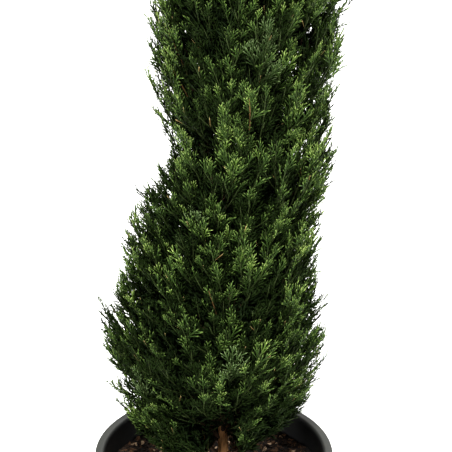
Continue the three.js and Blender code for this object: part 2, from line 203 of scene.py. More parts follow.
# Leaf tones: lit and shaded copies of one green, from near-black painted shade inside the crown to this
# year's tips, then the two that stand apart.
LeafTone = namedtuple("LeafTone", "name place colour tip_colour gloss")
LEAF_TONES = (
    # Painted shade: near-black leaves where the crown is deep.
    LeafTone("shade", "inside the crown", "080f03", "0d1706", 0.03),
    # Painted shade: nearly as dark on the plumes' lower parts, deeper in the crown.
    LeafTone("deep", "on the plumes' lower parts", "0a1204", "162209", 0.03),
    # The lit leaves. Each tone's tips are lighter, as young growth and with painted highlight.
    LeafTone("mid", "on the plumes' middle", "2a3e14", "53682d", 0.12),
    LeafTone("fresh", "on the plumes' ends", "485f23", "80924d", 0.12),
    LeafTone("blue", "with a waxy bloom", "30421e", "586940", 0.12),
    LeafTone("dry", "on dead sprigs", "8a7145", "b8a06a", 0.12),
)
LIGHTEST, BLUE, DRY = 3, 4, 5
LEAF_ROUGHNESS = 0.5
# Shares of the sprays that have a bloom, of the sprigs that are dry straws and of the stems that are bare.
BLUE_SHARE = 0.05
DRY_SHARE = 0.018
BARE_SHARE = 0.035
# A leaf's tone rises along its plume, partly young growth and partly painted light and shade. Lower on the
# crown leaves are darker: fresh tips are fewer there, and it is also painted shade for light that falls off
# downwards.
LIGHT = Sizes(base=0.45, along=0.5, scatter=0.5, blue_above=1.0)
FRESHNESS_AND_LIGHT_FALLOFF = Sizes(low=280.0, high=480.0, least=-0.4, most=0.3)
# Painted shade: leaves are darker by a tone for each step inside the crown. Those near its face are never in
# the darkest, full painted shade.
SHADE = Sizes(start=20.0, step=22.0, face=28.0)
# Kinds of sprigs by the least tone that they have: plain inside, fuller outside, and single straws.
SprigKind = namedtuple("SprigKind", "least_tone shapes side_shoots width spindle")
SPRIG_KINDS = (
    SprigKind(0, 2, 2, 1.8, True),
    SprigKind(1, 3, 5, 1.1, True),
    SprigKind(2, 6, 5, 1.0, False),
    SprigKind(DRY, 1, 0, 0.8, False),
)
# A sprig's shoots. Lengths and places are shares of its own length, and leans are in degrees.
SHOOT = Sizes(
    ring=3, foot=0.75, widest=0.76, spindle_widest=0.5, first=0.1, last=0.72, shift=0.03, turn=0.45,
    least_lean=23, most_lean=34, longest=0.54, shortest=0.4, scatter=(0.85, 1.15), side_width=0.9,
)
BARK = Sizes(strip_length=60.0, shred_length=17.0, finer=2.6, strips=0.65, shreds=0.35)

# The pot, the soil and its chips, in metres.
POT = Sizes(
    sides=160, foot_round=0.006, wall=0.0032, floor=0.004, floor_radius=0.1088, lip_round=0.002,
    lip_inner_round=0.005, wall_top=0.246, stain=(0.0005, 0.004),
)
SOIL = Sizes(
    rings=64, sides=200, gap=0.0004, foot_gap=0.001, edge_drop=0.008, chips_out=0.133, grain=0.006,
    fall=0.003, fall_run=0.1, bank=0.006, bank_width=0.026, bump_share=0.6, noise_level=0.3,
    bumps=((0.05, 1.0), (0.017, 0.5), (0.007, 0.45)),
)
CHIP = Sizes(
    shapes=6, points=11, halves=(0.5, 0.28, 0.13), grain=0.004, tilt=0.7, smallest=0.35, largest=1.35,
    kinds=24,
)
# Of the 24 kinds of chips, the first is pale, the next seven are brown and the rest dark.
CHIP_KINDS_FROM = (0, 1, 8)
# Heights in metres over which the bark turns to painted shade inside the crown, and over which it turns
# darker towards the soil.
SHADED_BARK = (0.3, 0.35)
BARK_DARKER_TO_SOIL = (0.27, 0.244)

STUDIO = Sizes(world=0.25, aim=(0, 0, 0.6), sun=5.75, sun_angle=10, sun_height=56, sun_turn=-4)
Softbox = namedtuple("Softbox", "name place size power")
SOFTBOXES = (
    Softbox("left softbox", (-2.3, -0.7, 0.9), 1.6, 128),
    Softbox("right softbox", (2.3, -0.7, 0.9), 1.6, 118),
    Softbox("back softbox", (0.6, 2.4, 2.8), 2.0, 80),
)


def linear(code):
    """Linear RGB of an sRGB hex colour."""
    channels = [int(code[i : i + 2], 16) / 255 for i in (0, 2, 4)]
    return [c / 12.92 if c <= 0.04045 else ((c + 0.055) / 1.055) ** 2.4 for c in channels]


def tint(name, description, code):
    return FloatVectorProperty(
        name=name, description=description, default=linear(code), subtype="COLOR", size=3, min=0, max=1
    )


def metres(name, description, default):
    return FloatProperty(name=name, description=description, default=default, min=0, unit="LENGTH")


class StageSettings(bpy.types.PropertyGroup):
    camera_height: metres("Camera height", "Height of the lens over the floor", 1.3998)
    camera_back: metres("Camera distance", "How far the lens is in front of the pot's axis", 1.8877)
    camera_right: metres("Camera offset", "How far the lens is right of the pot's axis", 0.0153)
    camera_down: FloatProperty(
        name="Camera tilt", description="How far it looks down", default=math.radians(23.5), subtype="ANGLE"
    )
    lens: FloatProperty(name="Lens", description="Focal length in mm on a 36 mm sensor", default=137.5)
    floor_size: metres("Floor", "Side of the square floor", 60.0)
    floor_colour: tint("Floor colour", "Colour of the pale floor", "f4f4f2")


class PotSettings(bpy.types.PropertyGroup):
    rim_radius: metres("Rim radius", "Outside of the rolled lip", POT_BOX[1].x)
    height: metres("Height", "From the floor to the top of the lip", POT_BOX[1].z)
    base_radius: metres("Base radius", "Outside of the foot", 0.112)
    lip_width: metres("Lip width", "From the outside to the inside of the lip", 0.0125)
    lip_depth: metres("Lip depth", "From the top of the lip to its lower edge", 0.024)
    colour: tint("Plastic", "Colour of the moulded plastic", "30312d")
    # Painted shade: the inside is near-black, partly a wet soil stain.
    stain_colour: tint("Wet stain", "Colour of the soil-stained inside", "060605")
    dust_colour: tint("Dust", "Colour of dry soil dust on the plastic", "6b6358")


class SoilSettings(bpy.types.PropertyGroup):
    roughness: metres("Unevenness", "How far the soil's surface rises and falls", 0.005)
    chip_length: metres("Chip length", "Length of a middling bark chip", 0.0105)
    chip_count: IntProperty(name="Chips", description="Number of loose bark chips", default=4600, min=0)
    seed: IntProperty(name="Seed", description="Deals out the chips", default=4)
    # Painted shade: the soil is near-black, partly damp and partly the shade inside the pot.
    colour: tint("Soil", "Colour of the damp potting mix", "090604")
    chip_dark: tint("Dark chips", "Colour of the damp chips", "20160e")
    chip_red: tint("Brown chips", "Colour of the fresh bark chips", "47311f")
    chip_pale: tint("Pale chips", "Colour of the few dry wood chips", "a0866a")


class BarkSettings(bpy.types.PropertyGroup):
    relief: metres("Bark relief", "Depth of the trunk's fibrous strips", 0.0014)
    bark_colour: tint("Bark", "Colour of the raised bark strips", "a2754a")
    cleft_colour: tint("Clefts", "Colour between the bark strips", "2f2014")
    # Painted shade: the bark inside the crown is darker.
    bough_colour: tint("Boughs", "Colour of the bark inside the crown", "2e2014")
    twig_colour: tint("Twigs", "Colour of the woody twigs", "33251a")
    bare_colour: tint("Bare twigs", "Colour of the twigs that have shed their leaves", "5c4326")
    shoot_colour: tint("Green twigs", "Colour of the youngest twigs", "2c3719")


class FoliageSettings(bpy.types.PropertyGroup):
    seed: IntProperty(name="Seed", description="Grows another crown", default=11)
    sprig_length: metres("Sprig length", "Length of a middling sprig of scale leaves", SPRIG.length * MM)
    shoot_width: metres("Shoot width", "Thickness of one scale-leaved shoot", 0.0016)


def leaf_colours():
    """Two colour settings for each tone: its leaves, and its tips, which are lighter as young growth and with
    painted highlight.
    """
    for tone in LEAF_TONES:
        label = f"{tone.name.title()} leaves"
        yield f"{tone.name}_colour", tint(label, f"Leaves {tone.place}", tone.colour)
        yield f"{tone.name}_tip_colour", tint(f"{label}, tips", f"Young tips {tone.place}", tone.tip_colour)


FoliageSettings.__annotations__.update(leaf_colours())


# Small vector helpers. The last axis of an array holds x, y and z.


def unit(vectors):
    return vectors / np.linalg.norm(vectors, axis=-1, keepdims=True)


def outward(angle):
    return np.array([math.cos(angle), math.sin(angle), 0.0])


def lerp(a, b, share):
    return a + (b - a) * share


def smooth_step(low, high, value):
    share = np.clip((value - low) / (high - low), 0, 1)
    return share * share * (3 - 2 * share)


def bezier(bend, shares):
    """Points at shares of a curve that three points give."""
    t = np.asarray(shares, float)[..., None]
    return (1 - t) ** 2 * bend[0] + 2 * t * (1 - t) * bend[1] + t * t * bend[2]


def bezier_way(bend, shares):
    """The curve's direction at those shares."""
    t = np.asarray(shares, float)[..., None]
    return unit(2 * (1 - t) * (bend[1] - bend[0]) + 2 * t * (bend[2] - bend[1]))


def later_part(bend, share):
    """The part of a curve from a share on."""
    return np.array([bezier(bend, share), lerp(bend[1], bend[2], share), bend[2]])


def sides_of(along):
    """Two directions across each direction."""
    upright = np.abs(along[..., 2:3]) > NEARLY_UPRIGHT
    spare = np.where(upright, [1.0, 0.0, 0.0], UP)
    first = unit(np.cross(along, spare))
    return first, np.cross(first, along)


# The growth rule


def trunk_at(z):
    z = np.asarray(z, float)
    x = TRUNK.foot_x + TRUNK.lean * smooth_step(TRUNK.lean_from, TRUNK.lean_to, z)
    y = TRUNK.wander * np.sin((z - SOIL_LEVEL) / TRUNK.wander_length)
    return np.stack([x, y, z], axis=-1)


def trunk_radius(z):
    share = (z - SOIL_LEVEL) / (TRUNK.top - SOIL_LEVEL)
    flare = TRUNK.flare * np.exp(-(z - SOIL_LEVEL) / TRUNK.flare_height)
    return lerp(TRUNK.radius, TRUNK.tip_radius, share) + flare


def from_trunk(points):
    """Where points are from the trunk at their height: the offset, how far out it is and its direction."""
    offset = points - trunk_at(points[..., 2])
    return offset, np.hypot(offset[..., 0], offset[..., 1]), np.arctan2(offset[..., 1], offset[..., 0])


def bell(z, place):
    """1 at the place's height, and less within its spread."""
    return np.exp(-(((z - place.height) / place.spread) ** 2))


def reach(angle, z):
    """How far the crown stands out from the trunk in a direction, at a height."""
    share = np.clip((z - CROWN.shoulder) / (CROWN.tip - CROWN.shoulder), 0, 1)
    out = CROWN.column_radius * (1 - share**CROWN.taper_power)
    for swelling in SWELLINGS:
        facing = 1.0
        if swelling.side is not None:
            facing = np.abs(np.cos((angle - swelling.side) / 2)) ** SIDE_FOCUS
        out = out + swelling.size * facing * bell(z, swelling)
    return np.maximum(CROWN.tip_radius, out)


def tier_floor(index, out):
    if index == len(TIERS):
        return CROWN.tip
    return TIERS[index].foot + TIERS[index].rise * out


def trimmed(angle, z):
    """How much further the sprays stand out here than the rule's reach, as a share of it."""
    change = 0.0
    for trim in TRIMS:
        change = change + trim.change * np.maximum(0, np.cos(angle - trim.side)) * bell(z, trim)
    return change


def hollow_at(point, angle, z):
    """How deep the crown's face falls back here, as a share of the usual depth."""
    depth = max(0.0, noise.noise(Vector(point / HOLLOWS.size)))
    for hollow in PLACED_HOLLOWS:
        facing = max(0, math.cos(angle - hollow.side)) ** HOLLOWS.sharpness
        depth += hollow.depth * facing * bell(z, hollow)
    return depth


def face_depth(points):
    """How far inside the crown's face points lie."""
    _, out, angle = from_trunk(points)
    z = points[..., 2]
    return (1 + trimmed(angle, z)) * reach(angle, z) - out


def inside_crown(points, ease, over=0.0):
    """Which points lie within the crown's eased reach, and clear of the soil, the pot and the parting."""
    z = points[..., 2]
    offset, out, angle = from_trunk(points)
    clear_of_lip = np.hypot(points[..., 0], points[..., 1]) < LIP_INNER_RADIUS - CROWN.rim_clear
    clear_of_rim = (z > RIM_TOP + CROWN.rim_clear) | clear_of_lip
    steep = np.maximum(0, np.cos(angle - UNDERSIDE.steep_side)) ** 2
    rise = UNDERSIDE.rise + UNDERSIDE.steep_rise * steep
    waves = np.sin(UNDERSIDE.waves * angle + out / UNDERSIDE.wave_length)
    underside = UNDERSIDE.level + rise * np.maximum(0, out - UNDERSIDE.start) + UNDERSIDE.ragged * waves
    in_front = (offset[..., 1] < 0) & (np.abs(offset[..., 0]) < PARTING.half_width)
    waves = np.sin(offset[..., 0] / PARTING.wave_across + out / PARTING.wave_out)
    parted = in_front & (z < PARTING.top + PARTING.rise * out + PARTING.ragged * waves)
    within = (out < ease * reach(angle, z) + over) & (z < CROWN.tip)
    return within & clear_of_rim & (z > underside) & ~parted


def way_out(start, direction, ease, furthest=180.0, step=2.0):
    """How far a straight way stays inside the crown."""
    ways = np.arange(0.0, furthest, step)
    inside = inside_crown(start + ways[:, None] * direction, ease)
    return ways[-1] if inside.all() else ways[np.argmin(inside)]


Space = namedtuple("Space", "tier_index index angle")


def spaces():
    for tier_index, tier in enumerate(TIERS):
        for index in range(tier.masses):
            yield Space(tier_index, index, math.radians(tier.turn) + 2 * math.pi * index / tier.masses)


def is_spire(space):
    return TIERS[space.tier_index].masses == 1


def mass_middle(space):
    here, above = TIERS[space.tier_index], TIERS[space.tier_index + 1]
    foot = (here.foot + above.foot) / 2
    rise = (here.rise + above.rise) / 2
    middle = trunk_at(foot)
    for _ in range(PASSES):
        out = MASS_MIDDLE * reach(space.angle, middle[2])
        middle = trunk_at(foot + rise * out) + out * outward(space.angle)
    return middle


def limb_path(space):
    """Points along a mass's limb: from the trunk to the mass's middle, and on towards its face."""
    if is_spire(space):
        return trunk_at(np.linspace(TIERS[-1].foot, CROWN.tip - PLUME.longest / 2, BOUGH.points))
    tier = TIERS[space.tier_index]
    middle = mass_middle(space)
    depth = TIERS[space.tier_index + 1].foot - tier.foot
    step = ((space.index * 2) % tier.masses) / tier.masses
    root = trunk_at(tier.foot + depth * (BOUGH.lowest_root + BOUGH.root_spread * step))
    sag = np.array([0.0, 0.0, BOUGH.sag * np.linalg.norm(middle - root)])
    bend = np.array([root, (root + middle) / 2 - sag, middle])
    inner = bezier(bend, np.linspace(0, 1, BOUGH.inner_points))
    on = unit(bezier_way(bend, 1.0) + BOUGH.turn_up * UP)
    further = BOUGH.on_share * way_out(middle, on, 1.0)
    outer = middle + on * (further * np.linspace(0, 1, BOUGH.points - BOUGH.inner_points + 1)[1:, None])
    return np.concatenate([inner, outer])


def face_point(space, angle, up, ease):
    """Height and distance from the trunk of a point on a mass's face, at a share of the way up it."""
    out = CROWN.column_radius
    for _ in range(PASSES):
        z = lerp(tier_floor(space.tier_index, out), tier_floor(space.tier_index + 1, out), up)
        out = ease * reach(angle, z)
    return z, out


def spray_ends(space, rng):
    """Where a mass's sprays end, which way they point and how far they reach, in rows up the mass."""
    tier = TIERS[space.tier_index]
    spire = is_spire(space)
    lowest = space.tier_index == 0
    closer = CLOSER.get(tier.name, 1.0)
    face = CROWN.column_radius
    depth = tier_floor(space.tier_index + 1, face) - tier_floor(space.tier_index, face)
    rows = SPRAY.spire_rows if spire else round(depth / (closer * SPRAY.row_height))
    rise_above = STEEPEST if spire else TIERS[space.tier_index + 1].rise
    for row in range(rows):
        moved = SPRAY.stagger * (1 if row % 2 else -1)
        _, out = face_point(space, space.angle, (row + 0.5) / rows, 1.0)
        arc = 2 * math.pi * out / tier.masses
        in_row = max(SPRAY.fewest, round(arc / (closer * SPRAY.spacing)))
        for i in range(in_row):
            up = (row + 0.5 + SPRAY.jitter * rng.normal()) / rows
            across = (2 * i + 1 + moved + 2 * SPRAY.jitter * rng.normal()) / in_row - 1
            angle = space.angle + across * SPRAY.spread * math.pi / tier.masses
            outwards = outward(angle)
            z, out = face_point(space, angle, up, 1.0)
            furthest = SPRAY.furthest + trimmed(angle, z)
            ease = furthest - HOLLOWS.depth * hollow_at(trunk_at(z) + out * outwards, angle, z)
            ease -= SPRAY.edge * abs(rng.normal())
            if rng.random() < SPRAY.stray_share and not lowest:
                ease = furthest + SPRAY.stray_out / out
            z, out = face_point(space, angle, up, ease)
            sideways = np.array([-outwards[1], outwards[0], 0.0])
            scatter = SPRAY.scatter * rng.normal(size=2)
            sweep = SPRAY.sweep * (up if lowest else 1.0)
            rise = lerp(tier.rise, rise_above, np.clip(up, 0, 1)) + sweep + scatter[1]
            yield trunk_at(z) + out * outwards, unit(outwards + scatter[0] * sideways + rise * UP), ease


class Growth:
    """All that has grown: limbs, stems of sprays and plumes, and the sprigs of each tier."""

    def __init__(self, seed):
        self.seed = seed
        self.limbs = []
        self.wood_bends = []
        self.bare_bends = [np.array(snag) for snag in SNAGS]
        self.plume_bends = []
        self.sprigs = {tier.name: [] for tier in TIERS}
        for space in spaces():
            self.grow_mass(space)
        self.grow_core()
        for stray in STRAYS:
            self.grow_stray(stray)

    def grow_mass(self, space):
        """A mass's limb and sprays, from draws of their own."""
        self.rng = np.random.default_rng((self.seed, space.tier_index, space.index))
        path = limb_path(space)
        self.limbs.append(path)
        tier_name = TIERS[space.tier_index].name
        for end, way, ease in spray_ends(space, self.rng):
            self.grow_spray(tier_name, path, end, way, ease)
        if is_spire(space):
            top = np.array([path[-1], path[-1] + SPIRE_TOP_BEND * UP, trunk_at(CROWN.tip)])
            self.grow_leaves(tier_name, top, self.rng.uniform(0, 1), False, 1.0)

    def grow_core(self):
        """Old foliage close round the trunk, dark with painted shade, which keeps the sky from showing
        through the crown.
        """
        for k, z in enumerate(np.arange(CORE.low, CORE.high, CORE.step)):
            angle = GOLDEN_TURN * k
            way = unit(np.array([math.cos(angle), math.sin(angle), CORE.rise]))
            start = trunk_at(z)
            end = start + CORE.reach * reach(angle, z) / np.hypot(*way[:2]) * way
            bend = np.array([start, (start + end) / 2, end])
            tier_name = [tier.name for tier in TIERS if tier.foot <= z][-1]
            self.grow_leaves(tier_name, bend, None, False, INNER.ease)

    def grow_stray(self, stray):
        """A plume that stands out of the crown, from the limb that comes nearest to it."""
        outwards = outward(stray.side)
        end = trunk_at(stray.height) + stray.out * outwards
        nearest = int(np.argmin([np.linalg.norm(path - end, axis=1).min() for path in self.limbs]))
        tier_name = TIERS[list(spaces())[nearest].tier_index].name
        ease = stray.out / reach(stray.side, stray.height) + STRAY_EASE
        seat = end - SPRAY.longest * unit(outwards + stray.rise * UP)
        bend = np.array([self.limbs[nearest][-1], seat, end])
        lightness = self.rng.uniform(0, STRAY_LIGHTEST)
        self.grow_leaves(tier_name, self.grow_stem(bend), lightness, False, ease)
        sizes = np.full(len(STRAY_FORKS), PLUME.shortest)
        self.grow_plumes(tier_name, bend, np.array(STRAY_FORKS), sizes, ease, lightness, False)

    def grow_stem(self, bend):
        """A spray's stem, woody as far as its leading plume. Gives the plume's own curve."""
        leading = later_part(bend, PLUME.leading_from)
        self.wood_bends.append(later_part(bend[::-1], 1 - PLUME.leading_from)[::-1])
        bare = self.rng.random() < BARE_SHARE
        (self.bare_bends if bare else self.plume_bends).append(leading)
        return leading

    def grow_spray(self, tier_name, path, end, way, ease):
        """A spray's stem from its limb, with its leading plume, side plumes and old inner ones."""
        rng = self.rng
        length = rng.uniform(SPRAY.shortest, SPRAY.longest)
        across = np.hypot(*(end - trunk_at(end[2]))[:2])
        length = min(length, (1 - SPRAY.deepest_seat) * across / np.hypot(*way[:2]))
        seat = end - length * way
        length = min(length, way_out(seat, way, ease))
        if length < PLUME.shortest:
            return
        near = np.linalg.norm(path - (seat - SPRAY.set_back * way), axis=1)
        innermost = len(path) // 4
        root = path[max(innermost, int(np.argmin(near)))]
        bend = np.array([root, seat, seat + length * way])
        lightness = rng.uniform(SPRAY.darkest, SPRAY.lightest)
        blue = rng.random() < BLUE_SHARE
        self.grow_leaves(tier_name, self.grow_stem(bend), lightness, blue, ease)
        whole = np.linalg.norm(seat - root) + length
        count = int(np.clip(round(whole / PLUME.spacing), PLUME.fewest, PLUME.most))
        shares = np.linspace(PLUME.first, PLUME.last, count) + PLUME.shift * rng.normal(size=count)
        sizes = PLUME.share * whole * (1 - shares) + PLUME.stub * PLUME.shortest
        self.grow_plumes(tier_name, bend, shares, sizes, ease, lightness, blue)
        shares = rng.uniform(INNER.first, INNER.last, INNER.plumes)
        sizes = np.full(INNER.plumes, INNER.length)
        self.grow_plumes(tier_name, bend, shares, sizes, INNER.ease, None, False)

    def grow_plumes(self, tier_name, bend, shares, sizes, ease, lightness, blue):
        """Plumes that lean out from a spray's stem all round it, and turn up."""
        rng = self.rng
        count = len(shares)
        starts = bezier(bend, shares)
        ways = bezier_way(bend, shares)
        first, second = sides_of(ways)
        rolls = GOLDEN_TURN * np.arange(count) + rng.uniform(0, 2 * math.pi)
        leans = PLUME.lean + PLUME.lean_scatter * rng.normal(size=count)
        outwards = unit((starts - trunk_at(starts[:, 2])) * [1, 1, 0])
        for k, start in enumerate(starts):
            across = first[k] * math.cos(rolls[k]) + second[k] * math.sin(rolls[k])
            way = ways[k] * math.cos(leans[k]) + across * math.sin(leans[k])
            way = unit(way + PLUME.upturn * UP + PLUME.outturn * outwards[k])
            length = np.clip(sizes[k] * rng.uniform(*SIZE_SCATTER), PLUME.shortest, PLUME.longest)
            while not inside_crown(start + length * way, ease * PLUME.ease) and length > PLUME.stop:
                length *= PLUME.cut
            if length < PLUME.least * PLUME.shortest:
                continue
            tip = start + length * way
            plume = np.array([start, lerp(start, tip, 0.5) - PLUME.sag * length * UP, tip])
            self.plume_bends.append(plume)
            self.grow_leaves(tier_name, plume, lightness, blue, ease)

    def grow_leaves(self, tier_name, bend, lightness, blue, ease):
        """Sprigs along a plume, larger at its foot and darker there with painted shade. With no lightness
        they are old and take the painted shade of the crown's inside.
        """
        rng = self.rng
        inner = lightness is None
        length = np.linalg.norm(bend[1] - bend[0]) + np.linalg.norm(bend[2] - bend[1])
        spacing = INNER.spacing if inner else SPRIG.spacing
        count = int(np.clip(round(length / spacing), SPRIG.fewest, SPRIG.most))
        along = np.linspace(SPRIG.first, SPRIG.last, count)
        points = bezier(bend, along)
        ways = bezier_way(bend, along)
        outwards = unit((points - trunk_at(points[:, 2])) * [1, 1, 0])
        sideways = unit(np.cross(ways, outwards))
        rolls = math.pi * np.arange(count) + SPRIG.roll * rng.normal(size=count)
        across = sideways * np.cos(rolls)[:, None] + np.cross(sideways, ways) * np.sin(rolls)[:, None]
        leans = np.linspace(SPRIG.lean, SPRIG.tip_lean, count)
        leans[-1] = SPRIG.end_lean
        shoots = ways * np.cos(leans)[:, None] + across * np.sin(leans)[:, None] + SPRIG.upturn * UP
        shoots = unit(shoots)
        sizes = np.linspace(SPRIG.base_size, SPRIG.tip_size, count) * rng.uniform(*SIZE_SCATTER, count)
        faces = unit(np.cross(shoots, outwards + SPRIG.facing * rng.normal(size=(count, 3))))
        if inner:
            # Painted shade: inner sprigs take the shade tone low down and the deep tone high up.
            tones = (points[:, 2] > INNER.fine_above).astype(int)
            sizes[tones == 0] *= INNER.sprig
        else:
            # Tones from random lightness, painted light and shade along the plume and with height, and
            # painted shade inside the crown.
            depth = face_depth(points)
            shaded = (depth - SHADE.start) / SHADE.step
            height = smooth_step(FRESHNESS_AND_LIGHT_FALLOFF.low, FRESHNESS_AND_LIGHT_FALLOFF.high, points[:, 2])
            fresh = lerp(FRESHNESS_AND_LIGHT_FALLOFF.least, FRESHNESS_AND_LIGHT_FALLOFF.most, height)
            light = lightness + fresh + LIGHT.base + LIGHT.along * along - shaded
            light = light + LIGHT.scatter * rng.normal(size=count)
            tones = np.clip(light, depth < SHADE.face, LIGHTEST).astype(int)
            if blue:
                tones[light > LIGHT.blue_above] = BLUE
            dry = rng.random(count) < DRY_SHARE
            tones[dry] = DRY
            sizes[dry] *= SPRIG.straw_size
        ends = points + (SPRIG.length * sizes)[:, None] * shoots
        kept = inside_crown(ends, ease, SPRIG.over)
        if inner:
            kept &= face_depth(ends) > INNER.depth
        self.sprigs[tier_name].append([values[kept] for values in (points, shoots, faces, sizes, tones)])


@functools.cache
def grown(seed):
    return Growth(seed)


# Mesh helpers


def nodes_of(prefix):
    return [name for name in NODES if name.startswith(prefix)]


def piece_of(name, mesh, materials, nodes):
    """A finished piece at the origin that rides on the body and stands for its nodes."""
    for material in materials:
        mesh.materials.append(material)
    piece = bpy.data.objects.new(name, mesh)
    bpy.context.scene.collection.objects.link(piece)
    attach(piece, BODY)
    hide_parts(*nodes)


def mesh_from(name, corners, faces, smooth=True):
    mesh = bpy.data.meshes.new(name)
    mesh.from_pydata(np.asarray(corners, float).tolist(), [], [list(map(int, face)) for face in faces])
    mesh.validate()
    if smooth:
        mesh.shade_smooth()
    else:
        mesh.shade_flat()
    mesh.update()
    return mesh


def ring_quads(rings, sides):
    """Faces between rings of corners that lie ring by ring."""
    for ring in range(rings - 1):
        for i in range(sides):
            here, beside = ring * sides + i, ring * sides + (i + 1) % sides
            yield here, beside, beside + sides, here + sides


def lathe(name, outline, sides):
    """A closed mesh turned about Z from (radius, height) points that start and end on the axis."""
    angles = np.linspace(0, 2 * math.pi, sides, endpoint=False)
    radii, heights = np.array(outline[1:-1]).T[..., None]
    turned = [radii * np.cos(angles), radii * np.sin(angles), np.repeat(heights, sides, axis=1)]
    corners = np.stack(turned, axis=-1).reshape(-1, 3)
    low, high = len(corners), len(corners) + 1
    corners = np.concatenate([corners, [[0, 0, outline[0][1]], [0, 0, outline[-1][1]]]])
    faces = list(ring_quads(len(radii), sides))
    last = (len(radii) - 1) * sides
    for i in range(sides):
        beside = (i + 1) % sides
        faces.append((low, beside, i))
        faces.append((high, last + i, last + beside))
    return mesh_from(name, corners, faces)


def tube_faces(tubes, points, sides):
    """Faces of closed tubes whose corners lie tube by tube, then ring by ring."""
    foot = range(sides - 1, -1, -1)
    end = range((points - 1) * sides, points * sides)
    one = [*ring_quads(points, sides), foot, end]
    return [[corner + tube * points * sides for corner in face] for tube in range(tubes) for face in one]


def tube_corners(paths, radii, sides):
    """Corners of tubes along paths: arrays of (tubes, points, 3) and (points)."""
    along = unit(np.gradient(paths, axis=1))
    whole = unit(paths[:, -1] - paths[:, 0])
    first = unit(np.cross(sides_of(whole)[0][:, None, :], along))
    second = np.cross(along, first)
    angles = 2 * math.pi * np.arange(sides) / sides
    ring = first[:, :, None] * np.cos(angles)[:, None] + second[:, :, None] * np.sin(angles)[:, None]
    radii = np.broadcast_to(radii, paths.shape[:2])
    return paths[:, :, None] + radii[:, :, None, None] * ring, ring


def tubes_mesh(name, corners):
    """A mesh of closed tubes, from their corners in millimetres."""
    return mesh_from(name, corners.reshape(-1, 3) * MM, tube_faces(*corners.shape[:3]))


def bark_relief(around, along, grain):
    """Fibrous strips of bark, from -1 to 1: long along the limb and narrow around it."""
    x, y = grain * math.cos(around), grain * math.sin(around)
    strips = noise.noise(Vector((x, y, along / BARK.strip_length)))
    shreds = noise.noise(Vector((BARK.finer * x, BARK.finer * y, along / BARK.shred_length)))
    return BARK.strips * strips + BARK.shreds * shreds


def relief_tubes(name, paths, radii, sides, depth, grain):
    """A mesh of tubes with bark on them."""
    corners, ring = tube_corners(paths, radii, sides)
    ways = np.cumsum(np.linalg.norm(np.diff(paths, axis=1, prepend=paths[:, :1]), axis=2), axis=1)
    for tube, point, side in np.ndindex(corners.shape[:3]):
        around = 2 * math.pi * side / sides
        raised = depth * bark_relief(around + tube, ways[tube, point], grain)
        corners[tube, point, side] += raised * ring[tube, point, side]
    return tubes_mesh(name, corners)


# Materials


def add(tree, kind, inputs=None, output=0, **settings):
    """A new node with settings on it, and values or links on its inputs. Gives one of its outputs."""
    made = tree.nodes.new(kind)
    for name, value in settings.items():
        setattr(made, name, value)
    for name, value in (inputs or {}).items():
        if isinstance(value, bpy.types.NodeSocket):
            tree.links.new(value, made.inputs[name])
        else:
            made.inputs[name].default_value = value
    return made.outputs[output]


def new_material(name, values):
    """A material whose shader has these values: (material, its tree, the shader's inputs)."""
    material = bpy.data.materials.new(name)
    material.use_nodes = True
    inputs = material.node_tree.nodes["Principled BSDF"].inputs
    for label, value in values.items():
        inputs[label].default_value = value
    return material, material.node_tree, inputs


def object_place(tree):
    return add(tree, "ShaderNodeTexCoord", None, "Object")


def grains(tree, place, size, detail, roughness=0.5):
    """Noise with grains of a size in metres."""
    inputs = {"Vector": place, "Scale": 1 / size, "Detail": detail, "Roughness": roughness}
    return add(tree, "ShaderNodeTexNoise", inputs, "Fac")


def joined(tree, operation, a, b):
    return add(tree, "ShaderNodeMath", {0: a, 1: b}, operation=operation)


def ramp(tree, factor, stops):
    """A colour ramp of (position, linear colour) stops."""
    colour = add(tree, "ShaderNodeValToRGB", {"Fac": factor})
    elements = colour.node.color_ramp.elements
    while len(elements) < len(stops):
        elements.new(0.5)
    for element, (position, shade) in zip(elements, stops):
        element.position = position
        element.color = (*shade, 1)
    return colour


def times(colour, share):
    return [min(1, share * c) for c in colour]


def between(first, second, share):
    return [lerp(a, b, share) for a, b in zip(first, second)]


def turning(tree, value, begin, end, before, after):
    """One colour that turns to another as a value goes from begin to end."""
    share = add(tree, "ShaderNodeMapRange", {"Value": value, "From Min": begin, "From Max": end})
    return add(tree, "ShaderNodeMix", {"Factor": share, 6: before, 7: after}, 2, data_type="RGBA")


def link_surface(tree, inputs, colour, height, strength, distance):
    """Gives a shader its colour, and a bump that is a distance in metres high."""
    bump = add(tree, "ShaderNodeBump", {"Height": height, "Strength": strength, "Distance": distance})
    tree.links.new(colour, inputs["Base Color"])
    tree.links.new(bump, inputs["Normal"])


